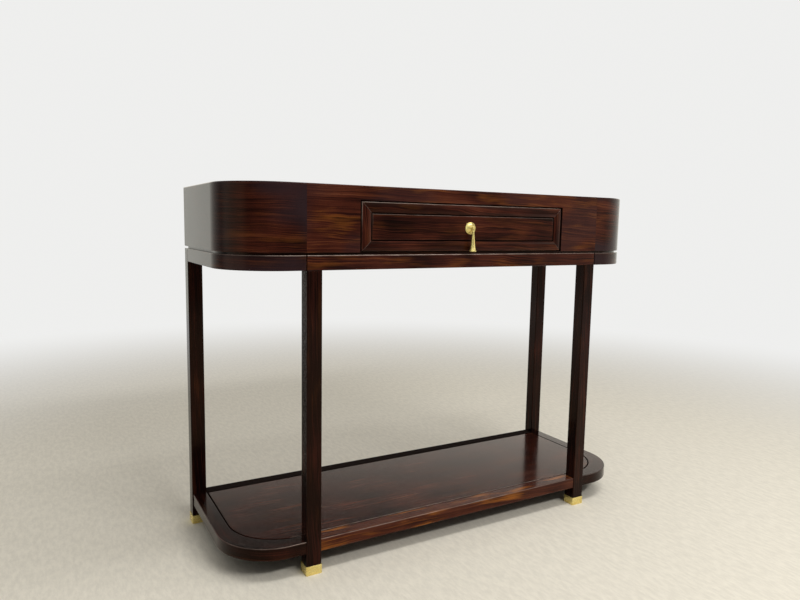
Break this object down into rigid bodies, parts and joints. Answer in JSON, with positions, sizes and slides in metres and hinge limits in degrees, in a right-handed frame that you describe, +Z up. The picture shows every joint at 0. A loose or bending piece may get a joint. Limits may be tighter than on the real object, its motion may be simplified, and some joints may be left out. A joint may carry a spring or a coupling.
{
  "type": "console table",
  "caption": "Dark wood console table with a D-shaped plan, a shallow drawer with a brass drop pull, slender brass-capped legs and a low shelf.",
  "frame": {"origin": "on the floor at the middle of the whole table's footprint, pull and foot caps included", "axes": "+X to the right along the width, +Y to the back, +Z up; the drawer faces -Y"},
  "size_m": [1.1576, 0.4216, 0.8525],
  "materials": {
    "rosewood": "satin lacquer",
    "drawer_wood": "matt",
    "brass": "polished",
    "steel": "plain"
  },
  "bodies": {
    "case": {"case_left_board": "rosewood", "case_right_board": "rosewood", "case_front_rail": "rosewood", "case_left_panel": "rosewood", "case_right_panel": "rosewood", "case_back_board": "rosewood", "case_bottom_board": "drawer_wood", "top_panel": "rosewood", "top_batten_left": "drawer_wood", "top_batten_centre": "drawer_wood", "top_batten_right": "drawer_wood", "drawer_guide_left": "drawer_wood", "drawer_guide_right": "drawer_wood", "drawer_runner_left": "drawer_wood", "drawer_runner_right": "drawer_wood", "drawer_back_stops": "drawer_wood", "drawer_catch": "drawer_wood", "waist_front_strip": "rosewood", "waist_back_strip": "rosewood", "waist_left_strip": "rosewood", "waist_right_strip": "rosewood", "apron_front_rail": "rosewood", "apron_back_rail": "rosewood", "apron_left_rail": "rosewood", "apron_right_rail": "rosewood", "front_left_leg": "rosewood", "front_right_leg": "rosewood", "back_left_leg": "rosewood", "back_right_leg": "rosewood", "front_left_foot_cap": "brass", "front_right_foot_cap": "brass", "back_left_foot_cap": "brass", "back_right_foot_cap": "brass", "foot_cap_screws": "steel", "shelf_front_rail": "rosewood", "shelf_back_rail": "rosewood", "shelf_left_rail": "rosewood", "shelf_right_rail": "rosewood", "shelf_panel": "rosewood", "shelf_batten_left": "rosewood", "shelf_batten_centre": "rosewood", "shelf_batten_right": "rosewood"},
    "drawer": {"drawer_top_rail": "rosewood", "drawer_bottom_rail": "rosewood", "drawer_left_stile": "rosewood", "drawer_right_stile": "rosewood", "drawer_front_panel": "rosewood", "drawer_left_side": "drawer_wood", "drawer_right_side": "drawer_wood", "drawer_back": "drawer_wood", "drawer_bottom": "drawer_wood", "pull_rosette": "brass", "pull_post": "brass", "pull_washer": "steel", "pull_nut": "steel"},
    "pull": {"pull_hinge_pin": "brass", "pull_pendant": "brass"}
  },
  "joints": [
    {"name": "drawer_slide", "type": "slide", "parent": "case", "child": "drawer", "axis": [0, -1, 0], "range_m": [0, 0.24]},
    {"name": "pull_swing", "type": "hinge", "parent": "drawer", "child": "pull", "pos_m": [0, -0.2023, 0.765], "axis": [-1, 0, 0], "range_deg": [-3, 85]}
  ]
}
